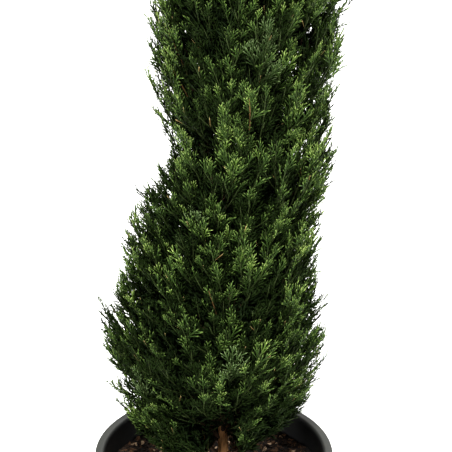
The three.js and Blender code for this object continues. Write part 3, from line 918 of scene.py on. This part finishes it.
def moulded_plastic(settings):
    """Moulded polypropylene: matt and scuffed pale grey on the lip, and near-black inside: a wet soil stain
    with painted shade.
    """
    values = {"IOR": 1.49, "Specular IOR Level": 0.2}
    material, tree, inputs = new_material("moulded polypropylene", values)
    place = object_place(tree)
    dust = grains(tree, place, size=0.045, detail=6.0, roughness=0.65)
    clean, dusty = settings.colour, settings.dust_colour
    little, much = between(clean, dusty, 0.16), between(clean, dusty, 0.4)
    colour = ramp(tree, dust, [(0.0, times(clean, 0.82)), (0.52, clean), (0.66, little), (0.85, much)])
    flat = add(tree, "ShaderNodeVectorMath", {0: place, 1: (1, 1, 0)}, operation="MULTIPLY")
    radius = add(tree, "ShaderNodeVectorMath", {0: flat}, "Value", operation="LENGTH")
    # Painted shade: inside the lip the plastic turns near-black, partly a wet soil stain.
    begin, end = (settings.rim_radius - settings.lip_width + out for out in POT.stain)
    colour = turning(tree, radius, begin, end, (*settings.stain_colour, 1), colour)
    rough = add(tree, "ShaderNodeMapRange", {"Value": dust, "To Min": 0.42, "To Max": 0.68})
    tree.links.new(rough, inputs["Roughness"])
    pores = grains(tree, place, size=0.0016, detail=2.0)
    link_surface(tree, inputs, colour, pores, strength=0.12, distance=0.0004)
    return material


def crumbly(name, colour, grain):
    """Damp bark: dull, mottled at the size of its crumbs, with light raised fibres and dark hollows."""
    values = {"Roughness": 0.88, "IOR": 1.4, "Specular IOR Level": 0.2}
    material, tree, inputs = new_material(name, values)
    mottle = grains(tree, object_place(tree), grain, detail=5.0, roughness=0.7)
    mottled = ramp(tree, mottle, [(0.28, times(colour, 0.45)), (0.5, colour), (0.75, times(colour, 1.5))])
    link_surface(tree, inputs, mottled, mottle, strength=0.5, distance=0.001)
    return material


def fibrous_bark(name, raised, cleft, inside):
    """Cypress bark: dry and dull, grey-red strips that run along the stem with dark clefts between them."""
    values = {"Roughness": 0.86, "IOR": 1.45, "Specular IOR Level": 0.2}
    material, tree, inputs = new_material(name, values)
    place = object_place(tree)
    along = add(tree, "ShaderNodeMapping", {"Vector": place, "Scale": (1.0, 1.0, 0.14)})
    strips = grains(tree, along, size=0.0035, detail=5.0, roughness=0.6)
    patches = grains(tree, place, size=0.03, detail=2.0)
    mean = joined(tree, "MULTIPLY", joined(tree, "ADD", strips, patches), 0.5)
    colour = ramp(tree, mean, [(0.41, cleft), (0.5, raised), (0.6, times(raised, 1.6))])
    height = add(tree, "ShaderNodeSeparateXYZ", {"Vector": place}, "Z")
    # Painted shade: above the crown's foot the trunk turns to the darker bark inside the crown.
    colour = turning(tree, height, *SHADED_BARK, colour, (*inside, 1))
    # Darker towards the soil, down to the clefts' colour.
    colour = turning(tree, height, *BARK_DARKER_TO_SOIL, colour, (*cleft, 1))
    link_surface(tree, inputs, colour, strips, strength=0.6, distance=0.0008)
    return material


def plain_growth(name, colour, roughness, gloss=0.1):
    """Twig or scale leaf: one plain colour for its spray, with a soft waxy gloss."""
    values = {"Base Color": (*colour, 1), "Roughness": roughness, "IOR": 1.42, "Specular IOR Level": gloss}
    return new_material(name, values)[0]


def paper_floor(settings):
    """White paper sweep: bright, dull and even, with a faint mottle."""
    material, tree, inputs = new_material("white paper sweep", {"Roughness": 0.9})
    stops = [(0.3, times(settings.floor_colour, 0.985)), (0.7, settings.floor_colour)]
    colour = ramp(tree, grains(tree, object_place(tree), size=0.4, detail=2.0), stops)
    tree.links.new(colour, inputs["Base Color"])
    return material


# Geometry Nodes


def node_tree(name, sockets):
    """A geometry tree with named inputs of (name, socket type): (tree, its inputs, its result)."""
    tree = bpy.data.node_groups.new(name, "GeometryNodeTree")
    tree.interface.new_socket("Geometry", in_out="INPUT", socket_type="NodeSocketGeometry")
    for label, kind in sockets:
        tree.interface.new_socket(label, in_out="INPUT", socket_type=f"NodeSocket{kind}")
    tree.interface.new_socket("Geometry", in_out="OUTPUT", socket_type="NodeSocketGeometry")
    given = tree.nodes.new("NodeGroupInput").outputs
    return tree, given, tree.nodes.new("NodeGroupOutput").inputs["Geometry"]


def mesh_through(tree, name, mesh, values, spare):
    """The plain mesh that a tree makes of a mesh, with values for its inputs and without spare attributes."""
    holder = bpy.data.objects.new(name, mesh)
    bpy.context.scene.collection.objects.link(holder)
    modifier = holder.modifiers.new(tree.name, "NODES")
    modifier.node_group = tree
    for item in tree.interface.items_tree:
        if item.in_out == "INPUT" and item.name in values:
            modifier[item.identifier] = values[item.name]
    depsgraph = bpy.context.evaluated_depsgraph_get()
    made = bpy.data.meshes.new_from_object(holder.evaluated_get(depsgraph))
    bpy.data.objects.remove(holder)
    if not made.polygons:
        raise RuntimeError(f"{name} came out empty")
    made.name = name
    for label in spare:
        if label in made.attributes:
            made.attributes.remove(made.attributes[label])
    return made


def shape_collection(name, meshes):
    """A collection of shapes for a tree to pick from. It isn't part of the scene."""
    collection = bpy.data.collections.new(name)
    for i, mesh in enumerate(meshes):
        collection.objects.link(bpy.data.objects.new(f"{name}_{i}", mesh))
    return collection


def drop_collection(collection):
    for shape in list(collection.objects):
        bpy.data.objects.remove(shape)
    bpy.data.collections.remove(collection)


def named(tree, name, kind):
    return add(tree, "GeometryNodeInputNamedAttribute", {"Name": name}, data_type=kind)


def compared(tree, operation, a, b):
    return add(tree, "FunctionNodeCompare", {2: a, 3: b}, data_type="INT", operation=operation)


def real_shapes(tree, given, placing):
    """The collection's shapes on points, placed by these inputs, as one plain geometry."""
    inputs = {"Collection": given["Shapes"], "Separate Children": True, "Reset Children": True}
    picking = {"Instance": add(tree, "GeometryNodeCollectionInfo", inputs), "Pick Instance": True}
    placed = add(tree, "GeometryNodeInstanceOnPoints", placing | picking)
    return add(tree, "GeometryNodeRealizeInstances", {"Geometry": placed})


def dealt_materials(tree, geometry, index, operation, rows):
    """Sets each (material, value) row's material where the index compares so with its value."""
    for material, value in rows:
        inputs = {"Selection": compared(tree, operation, index, value), "Material": material}
        geometry = add(tree, "GeometryNodeSetMaterial", {"Geometry": geometry, **inputs})
    return geometry


def sprig_tree(materials):
    """Sprigs of scale leaves on the twigs' points, each turned and sized by its point's attributes."""
    sockets = [("Shapes", "Collection"), ("Sprig length", "Float"), ("Seed", "Int")]
    tree, given, result = node_tree("sprigs on twigs", sockets)
    tone = named(tree, "tone", "INT")
    first, pick = 0, 0
    for kind in SPRIG_KINDS:
        span = {4: first, 5: first + kind.shapes - 1, 8: given["Seed"]}
        shape = add(tree, "FunctionNodeRandomValue", span, 2, data_type="INT")
        reached = compared(tree, "GREATER_EQUAL", tone, kind.least_tone)
        choice = {"Switch": reached, "False": pick, "True": shape}
        pick = add(tree, "GeometryNodeSwitch", choice, input_type="INT")
        first += kind.shapes
    axes = {0: named(tree, "shoot", "FLOAT_VECTOR"), 1: named(tree, "face", "FLOAT_VECTOR")}
    placing = {
        "Points": given["Geometry"],
        "Instance Index": pick,
        "Rotation": add(tree, "FunctionNodeAxesToRotation", axes, primary_axis="Z", secondary_axis="X"),
        "Scale": joined(tree, "MULTIPLY", named(tree, "size", "FLOAT"), given["Sprig length"]),
    }
    geometry = real_shapes(tree, given, placing)
    # The tip faces take the tone's lighter tip colour: young growth with painted highlight.
    index = joined(tree, "ADD", joined(tree, "MULTIPLY", tone, 2.0), named(tree, "young", "INT"))
    rows = [(material, i) for i, material in enumerate(materials)]
    tree.links.new(dealt_materials(tree, geometry, index, "EQUAL", rows), result)
    return tree


def chip_tree(materials):
    """Bark chips strewn over the upward faces of the soil, each lying at its own angle."""
    sockets = [("Shapes", "Collection"), ("Chip length", "Float"), ("Density", "Float"), ("Seed", "Int")]
    tree, given, result = node_tree("chips on soil", sockets)
    seed = given["Seed"]
    surface = {"Mesh": given["Geometry"], "Density": given["Density"], "Seed": seed}
    strewn = add(tree, "GeometryNodeDistributePointsOnFaces", surface)
    span = {0: (-CHIP.tilt, -CHIP.tilt, 0.0), 1: (CHIP.tilt, CHIP.tilt, 2 * math.pi), 8: seed}
    tilt = add(tree, "FunctionNodeRandomValue", span, 0, data_type="FLOAT_VECTOR")
    span = {2: CHIP.smallest, 3: CHIP.largest, 8: seed}
    size = add(tree, "FunctionNodeRandomValue", span, 1, data_type="FLOAT")
    span = {4: 0, 5: CHIP.kinds - 1, 8: seed}
    kind = add(tree, "FunctionNodeRandomValue", span, 2, data_type="INT")
    mark = {"Geometry": strewn, "Name": "kind", "Value": kind}
    placing = {
        "Points": add(tree, "GeometryNodeStoreNamedAttribute", mark, data_type="INT", domain="POINT"),
        "Rotation": tilt,
        "Scale": joined(tree, "MULTIPLY", size, given["Chip length"]),
    }
    geometry = real_shapes(tree, given, placing)
    rows = zip(materials, CHIP_KINDS_FROM)
    geometry = dealt_materials(tree, geometry, named(tree, "kind", "INT"), "GREATER_EQUAL", rows)
    tree.links.new(geometry, result)
    return tree


# Operators


class CYPRESS_OT_stage(bpy.types.Operator):
    """Make the pale floor, the soft studio light and the camera"""

    bl_idname = "cypress.stage"
    bl_label = "Stage"

    def execute(self, context):
        settings = context.scene.cypress_stage
        half = settings.floor_size / 2
        corners = [(-half, -half, 0), (half, -half, 0), (half, half, 0), (-half, half, 0)]
        mesh = mesh_from("floor", corners, [(0, 1, 2, 3)], smooth=False)
        mesh.materials.append(paper_floor(settings))
        floor = self.put(context, "floor", mesh)
        self.add_lights(context)
        lens = bpy.data.cameras.new("camera")
        lens.lens = settings.lens
        lens.sensor_width = 36
        lens.clip_end = 50
        camera = self.put(context, "camera", lens)
        camera.location = (settings.camera_right, -settings.camera_back, settings.camera_height)
        camera.rotation_euler = (math.pi / 2 - settings.camera_down, 0, 0)
        context.scene.camera = camera
        context.scene.view_settings.view_transform = "Standard"
        return {"FINISHED"}

    @staticmethod
    def put(context, name, data):
        made = bpy.data.objects.new(name, data)
        context.scene.collection.objects.link(made)
        return made

    def add_lights(self, context):
        world = bpy.data.worlds.new("white studio")
        world.use_nodes = True
        background = world.node_tree.nodes["Background"].inputs
        background["Color"].default_value = (1, 1, 1, 1)
        background["Strength"].default_value = STUDIO.world
        context.scene.world = world
        for softbox in SOFTBOXES:
            data = bpy.data.lights.new(softbox.name, "AREA")
            data.shape = "SQUARE"
            data.size = softbox.size
            data.energy = softbox.power
            light = self.put(context, softbox.name, data)
            light.location = softbox.place
            aim = Vector(STUDIO.aim) - light.location
            light.rotation_euler = aim.to_track_quat("-Z", "Y").to_euler()
        key = bpy.data.lights.new("overhead key", "SUN")
        key.energy = STUDIO.sun
        key.angle = math.radians(STUDIO.sun_angle)
        light = self.put(context, "overhead key", key)
        light.rotation_euler = (math.radians(90 - STUDIO.sun_height), 0, math.radians(STUDIO.sun_turn))


class CYPRESS_OT_pot(bpy.types.Operator):
    """Turn the pot with its rolled lip"""

    bl_idname = "cypress.pot"
    bl_label = "Pot"

    def execute(self, context):
        settings = context.scene.cypress_pot
        mesh = lathe("pot_shell", self.outline(settings), POT.sides)
        piece_of("pot_shell", mesh, [moulded_plastic(settings)], ["pot"])
        return {"FINISHED"}

    def outline(self, settings):
        """(radius, height) points from the middle of the underside, over the lip, to the floor inside."""
        rim, height, base = settings.rim_radius, settings.height, settings.base_radius
        foot, wall, lip, inside = POT.foot_round, POT.wall, POT.lip_round, POT.lip_inner_round
        inner = rim - settings.lip_width
        wall_top = height - settings.lip_depth
        under_lip = (inner + wall, wall_top - inside)
        return [
            (0, 0),
            (base - 2 * foot, 0),
            *self.corner(base - foot, foot, foot, -90, 6),
            (lerp(base, under_lip[0], 0.5), lerp(foot, under_lip[1], 0.5)),
            under_lip,
            *self.corner(rim - wall, wall_top + wall, wall, -90, 4),
            *self.corner(rim - lip, height - lip, lip, 0, 8),
            *self.corner(inner + inside, height - inside, inside, 90, 8),
            (inner, wall_top),
            (base - wall, POT.floor),
            (0, POT.floor),
        ]

    @staticmethod
    def corner(radius, height, round_by, first, steps):
        """Points along a rounded quarter turn about a middle, from an angle in degrees on."""
        angles = np.radians(np.linspace(first, first + 90, steps + 1))
        return [(radius + round_by * math.cos(a), height + round_by * math.sin(a)) for a in angles]


class CYPRESS_OT_soil(bpy.types.Operator):
    """Fill the pot with uneven soil and strew bark chips on it"""

    bl_idname = "cypress.soil"
    bl_label = "Soil"

    def execute(self, context):
        settings = context.scene.cypress_soil
        # The soil's colour is near-black: damp, with painted shade.
        soil = crumbly("damp potting mix", settings.colour, SOIL.grain)
        piece_of("soil_fill", self.soil_mesh(settings), [soil], ["soil"])
        finishes = (
            ("dry wood chip", settings.chip_pale),
            ("fresh bark chip", settings.chip_red),
            ("damp bark chip", settings.chip_dark),
        )
        materials = [crumbly(name, colour, CHIP.grain) for name, colour in finishes]
        rng = np.random.default_rng(settings.seed)
        shapes = shape_collection("chip", [self.chip_mesh(i, rng) for i in range(CHIP.shapes)])
        area = math.pi * (LIP_INNER_RADIUS * MM) ** 2
        values = {
            "Shapes": shapes,
            "Chip length": settings.chip_length,
            "Density": settings.chip_count / area,
            "Seed": settings.seed,
        }
        chips = mesh_through(chip_tree(materials), "bark_chips", self.soil_top(settings), values, ["kind"])
        drop_collection(shapes)
        piece_of("bark_chips", chips, [], ["soil"])
        return {"FINISHED"}

    def height_at(self, x, y, settings):
        """The soil's uneven level, in metres: low at the pot and banked up a little at the trunk."""
        place = Vector((x, y, SOIL.noise_level))
        bumps = sum(share * noise.noise(place / size) for size, share in SOIL.bumps)
        trunk_distance = math.hypot(x - TRUNK.foot_x * MM, y)
        bank = SOIL.bank * math.exp(-((trunk_distance / SOIL.bank_width) ** 2))
        level = SOIL_LEVEL * MM - SOIL.fall * math.hypot(x, y) / SOIL.fall_run
        return level + settings.roughness * SOIL.bump_share * bumps + bank

    def wall_radius(self, z):
        share = (z - POT.floor) / (POT.wall_top - POT.floor)
        return lerp(POT.floor_radius, LIP_INNER_RADIUS * MM, share) - SOIL.gap

    def soil_mesh(self, settings):
        low = POT.floor + SOIL.gap
        top = self.wall_radius(SOIL_LEVEL * MM - SOIL.edge_drop)
        outline = [(0, low), (self.wall_radius(low) - SOIL.foot_gap, low)]
        outline += [(top * ring / SOIL.rings, SOIL_LEVEL * MM) for ring in range(SOIL.rings, -1, -1)]
        mesh = lathe("soil_fill", outline, SOIL.sides)
        for corner in mesh.vertices:
            if corner.co.z > low + MM:
                corner.co.z = self.height_at(corner.co.x, corner.co.y, settings)
        mesh.update()
        return mesh

    def soil_top(self, settings):
        """The soil's surface alone, for the chips to lie on: clear of the pot's wall."""
        corners = []
        for ring in range(1, SOIL.rings + 1):
            out = SOIL.chips_out * ring / SOIL.rings
            for i in range(SOIL.sides):
                angle = 2 * math.pi * i / SOIL.sides
                x, y = out * math.cos(angle), out * math.sin(angle)
                corners.append((x, y, self.height_at(x, y, settings)))
        faces = [(a, d, c, b) for a, b, c, d in ring_quads(SOIL.rings, SOIL.sides)]
        return mesh_from("soil_top", corners, faces)

    @staticmethod
    def chip_mesh(index, rng):
        """A flat, broken chip: the hull of a few points, one unit long."""
        made = bmesh.new()
        for point in rng.normal(size=(CHIP.points, 3)):
            made.verts.new(np.multiply(CHIP.halves, unit(point)))
        hull = bmesh.ops.convex_hull(made, input=made.verts)
        bmesh.ops.delete(made, geom=list({*hull["geom_unused"], *hull["geom_interior"]}), context="VERTS")
        bmesh.ops.recalc_face_normals(made, faces=made.faces)
        mesh = bpy.data.meshes.new(f"chip_{index}")
        made.to_mesh(mesh)
        made.free()
        return mesh


class CYPRESS_OT_limbs(bpy.types.Operator):
    """Make the trunk and the boughs with their fibrous bark"""

    bl_idname = "cypress.limbs"
    bl_label = "Trunk and boughs"

    TRUNK_RINGS = 300
    TRUNK_SIDES = 48
    TRUNK_GRAIN = 2.2
    LOWER_CROWDING = 1.3
    SUNK = 6.0
    BOUGH_SIDES = 9
    BOUGH_GRAIN = 1.6
    BOUGH_RELIEF = 0.4

    def execute(self, context):
        settings = context.scene.cypress_bark
        inside, cleft = settings.bough_colour, settings.cleft_colour
        bark = fibrous_bark("fibrous trunk bark", settings.bark_colour, cleft, inside)
        # The boughs are all in painted shade.
        shaded = fibrous_bark("fibrous bough bark", inside, cleft, inside)
        depth = settings.relief / MM
        foot = SOIL_LEVEL - self.SUNK
        shares = np.linspace(0, 1, self.TRUNK_RINGS) ** self.LOWER_CROWDING
        heights = foot + (TRUNK.top - SOIL_LEVEL + self.SUNK) * shares
        radii = trunk_radius(np.maximum(heights, SOIL_LEVEL))
        path = trunk_at(heights)[None]
        mesh = relief_tubes("trunk_bark", path, radii, self.TRUNK_SIDES, depth, self.TRUNK_GRAIN)
        piece_of("trunk_bark", mesh, [bark], ["trunk"])
        limbs = np.array(grown(context.scene.cypress_foliage.seed).limbs)
        shares = np.linspace(0, 1, limbs.shape[1])
        collars = BOUGH.collar * np.exp(-shares / BOUGH.collar_share)
        radii = lerp(BOUGH.radius, BOUGH.tip_radius, shares) + collars
        depth = self.BOUGH_RELIEF * depth
        mesh = relief_tubes("bough_bark", limbs, radii, self.BOUGH_SIDES, depth, self.BOUGH_GRAIN)
        piece_of("bough_bark", mesh, [shaded], nodes_of("bough_"))
        return {"FINISHED"}


class CYPRESS_OT_twigs(bpy.types.Operator):
    """Make the woody stems of the sprays and the green stems of their plumes"""

    bl_idname = "cypress.twigs"
    bl_label = "Twigs"

    SIDES = 3
    POINTED = 0.3

    def execute(self, context):
        settings = context.scene.cypress_bark
        growth = grown(context.scene.cypress_foliage.seed)
        for name, bends, sizes, finish, colour, roughness in (
            ("woody_twigs", growth.wood_bends, SPRAY, "brown twig bark", settings.twig_colour, 0.8),
            ("bare_twigs", growth.bare_bends, PLUME, "orange twig bark", settings.bare_colour, 0.8),
            ("green_twigs", growth.plume_bends, PLUME, "green twig bark", settings.shoot_colour, 0.6),
        ):
            shares = np.linspace(0, 1, sizes.points)
            paths = np.array([bezier(bend, shares) for bend in bends])
            radii = lerp(sizes.radius, sizes.tip_radius, shares)
            radii[-1] *= self.POINTED
            corners, _ = tube_corners(paths, radii, self.SIDES)
            material = plain_growth(finish, colour, roughness)
            piece_of(name, tubes_mesh(name, corners), [material], nodes_of("foliage_"))
        return {"FINISHED"}


class CYPRESS_OT_foliage(bpy.types.Operator):
    """Set sprigs of scale leaves on every plume, tier by tier"""

    bl_idname = "cypress.foliage"
    bl_label = "Foliage"

    def execute(self, context):
        settings = context.scene.cypress_foliage
        growth = grown(settings.seed)
        materials = []
        for tone in LEAF_TONES:
            # Each tone has a material for its leaves and a lighter one for its tips, partly painted
            # highlight.
            for label, field in (("", "colour"), (" young", "tip_colour")):
                colour = getattr(settings, f"{tone.name}_{field}")
                finish = f"{tone.name} scale leaf{label}"
                materials.append(plain_growth(finish, colour, LEAF_ROUGHNESS, tone.gloss))
        rng = np.random.default_rng(settings.seed)
        width = settings.shoot_width / settings.sprig_length
        kinds = [kind for kind in SPRIG_KINDS for _ in range(kind.shapes)]
        sprigs = [self.sprig_mesh(index, kind, width, rng) for index, kind in enumerate(kinds)]
        shapes = shape_collection("sprig", sprigs)
        tree = sprig_tree(materials)
        values = {"Shapes": shapes, "Sprig length": settings.sprig_length, "Seed": settings.seed}
        spare = ["shoot", "face", "size", "tone", "young"]
        for tier in TIERS:
            name = f"foliage_{tier.name}_leaves"
            points = self.point_mesh(name, growth.sprigs[tier.name])
            mesh = mesh_through(tree, name, points, values, spare)
            piece_of(name, mesh, [], nodes_of(f"foliage_{tier.name}"))
        drop_collection(shapes)
        return {"FINISHED"}

    @staticmethod
    def point_mesh(name, batches):
        """Points for sprigs, each with its way, face, size and tone."""
        points, shoots, faces, sizes, tones = (np.concatenate(column) for column in zip(*batches))
        mesh = bpy.data.meshes.new(f"{name}_points")
        mesh.from_pydata((points * MM).tolist(), [], [])
        for label, kind, field, values in (
            ("shoot", "FLOAT_VECTOR", "vector", shoots),
            ("face", "FLOAT_VECTOR", "vector", faces),
            ("size", "FLOAT", "value", sizes),
            ("tone", "INT", "value", tones),
        ):
            attribute = mesh.attributes.new(label, kind, "POINT")
            attribute.data.foreach_set(field, np.ravel(values))
        return mesh

    def sprig_mesh(self, index, kind, width, rng):
        """A sprig one unit long: a leading shoot with side shoots, each with a young tip that takes a lighter
        colour, partly painted highlight.
        """
        radius = kind.width * width / 2
        add_shoot = self.add_spindle if kind.spindle else self.add_cord
        shape = Sizes(corners=[], faces=[], young=[])
        add_shoot(shape, np.zeros(3), UP, 1.0, radius)
        for k in range(kind.side_shoots):
            share = k / (kind.side_shoots - 1)
            start = (lerp(SHOOT.first, SHOOT.last, share) + rng.uniform(-SHOOT.shift, SHOOT.shift)) * UP
            turn = math.pi * k + rng.normal(0, SHOOT.turn)
            lean = math.radians(rng.uniform(SHOOT.least_lean, SHOOT.most_lean))
            way = math.sin(lean) * outward(turn) + math.cos(lean) * UP
            length = lerp(SHOOT.longest, SHOOT.shortest, share) * rng.uniform(*SHOOT.scatter)
            add_shoot(shape, start, way, length, radius * SHOOT.side_width)
        mesh = mesh_from(f"sprig_{index}", shape.corners, shape.faces)
        mesh.attributes.new("young", "INT", "FACE").data.foreach_set("value", shape.young)
        return mesh

    @staticmethod
    def add_ring(shape, middle, way, radius):
        first, second = sides_of(way)
        for k in range(SHOOT.ring):
            angle = 2 * math.pi * k / SHOOT.ring
            shape.corners.append(middle + radius * (first * math.cos(angle) + second * math.sin(angle)))

    def add_cord(self, shape, start, way, length, radius):
        """A shoot of even thickness, closed at its foot and pointed at its young tip, which takes the lighter
        colour of young growth with painted highlight.
        """
        root = len(shape.corners)
        self.add_ring(shape, start, way, SHOOT.foot * radius)
        self.add_ring(shape, start + SHOOT.widest * length * way, way, radius)
        tip = len(shape.corners)
        shape.corners.append(start + length * way)
        shape.faces.append(range(root, root + SHOOT.ring))
        shape.young.append(0)
        for k in range(SHOOT.ring):
            here, beside = root + k, root + (k + 1) % SHOOT.ring
            shape.faces.append((here, here + SHOOT.ring, beside + SHOOT.ring, beside))
            shape.faces.append((tip, beside + SHOOT.ring, here + SHOOT.ring))
            shape.young += [0, 1]

    def add_spindle(self, shape, start, way, length, radius):
        """A plainer shoot for where less light falls, pointed at both ends."""
        root = len(shape.corners)
        self.add_ring(shape, start + SHOOT.spindle_widest * length * way, way, radius)
        foot = len(shape.corners)
        shape.corners += [start, start + length * way]
        for k in range(SHOOT.ring):
            here, beside = root + k, root + (k + 1) % SHOOT.ring
            shape.faces.append((foot, here, beside))
            shape.faces.append((foot + 1, beside, here))
            shape.young += [0, 1]


class CYPRESS_PT_panel(bpy.types.Panel):
    """Lists the makers of the plant's pieces"""

    bl_idname = "CYPRESS_PT_panel"
    bl_label = "Potted Cypress"
    bl_space_type = "VIEW_3D"
    bl_region_type = "UI"
    bl_category = "Cypress"

    def draw(self, context):
        for group, _, operators in GROUPS:
            box = self.layout.box()
            settings = getattr(context.scene, group)
            for name in settings.__annotations__:
                box.prop(settings, name)
            for operator in operators:
                box.operator(operator.bl_idname)


GROUPS = (
    ("cypress_stage", StageSettings, [CYPRESS_OT_stage]),
    ("cypress_pot", PotSettings, [CYPRESS_OT_pot]),
    ("cypress_soil", SoilSettings, [CYPRESS_OT_soil]),
    ("cypress_bark", BarkSettings, [CYPRESS_OT_limbs, CYPRESS_OT_twigs]),
    ("cypress_foliage", FoliageSettings, [CYPRESS_OT_foliage]),
)
CLASSES = [made for _, settings, operators in GROUPS for made in (settings, *operators)] + [CYPRESS_PT_panel]


def register():
    for made in CLASSES:
        bpy.utils.register_class(made)
    for group, settings, _ in GROUPS:
        setattr(bpy.types.Scene, group, PointerProperty(type=settings))


def unregister():
    for group, _, _ in GROUPS:
        delattr(bpy.types.Scene, group)
    for made in reversed(CLASSES):
        bpy.utils.unregister_class(made)


def main():
    register()
    bpy.ops.cypress.stage()
    bpy.ops.cypress.pot()
    bpy.ops.cypress.soil()
    bpy.ops.cypress.limbs()
    bpy.ops.cypress.twigs()
    bpy.ops.cypress.foliage()


if __name__ == "__main__":
    main()
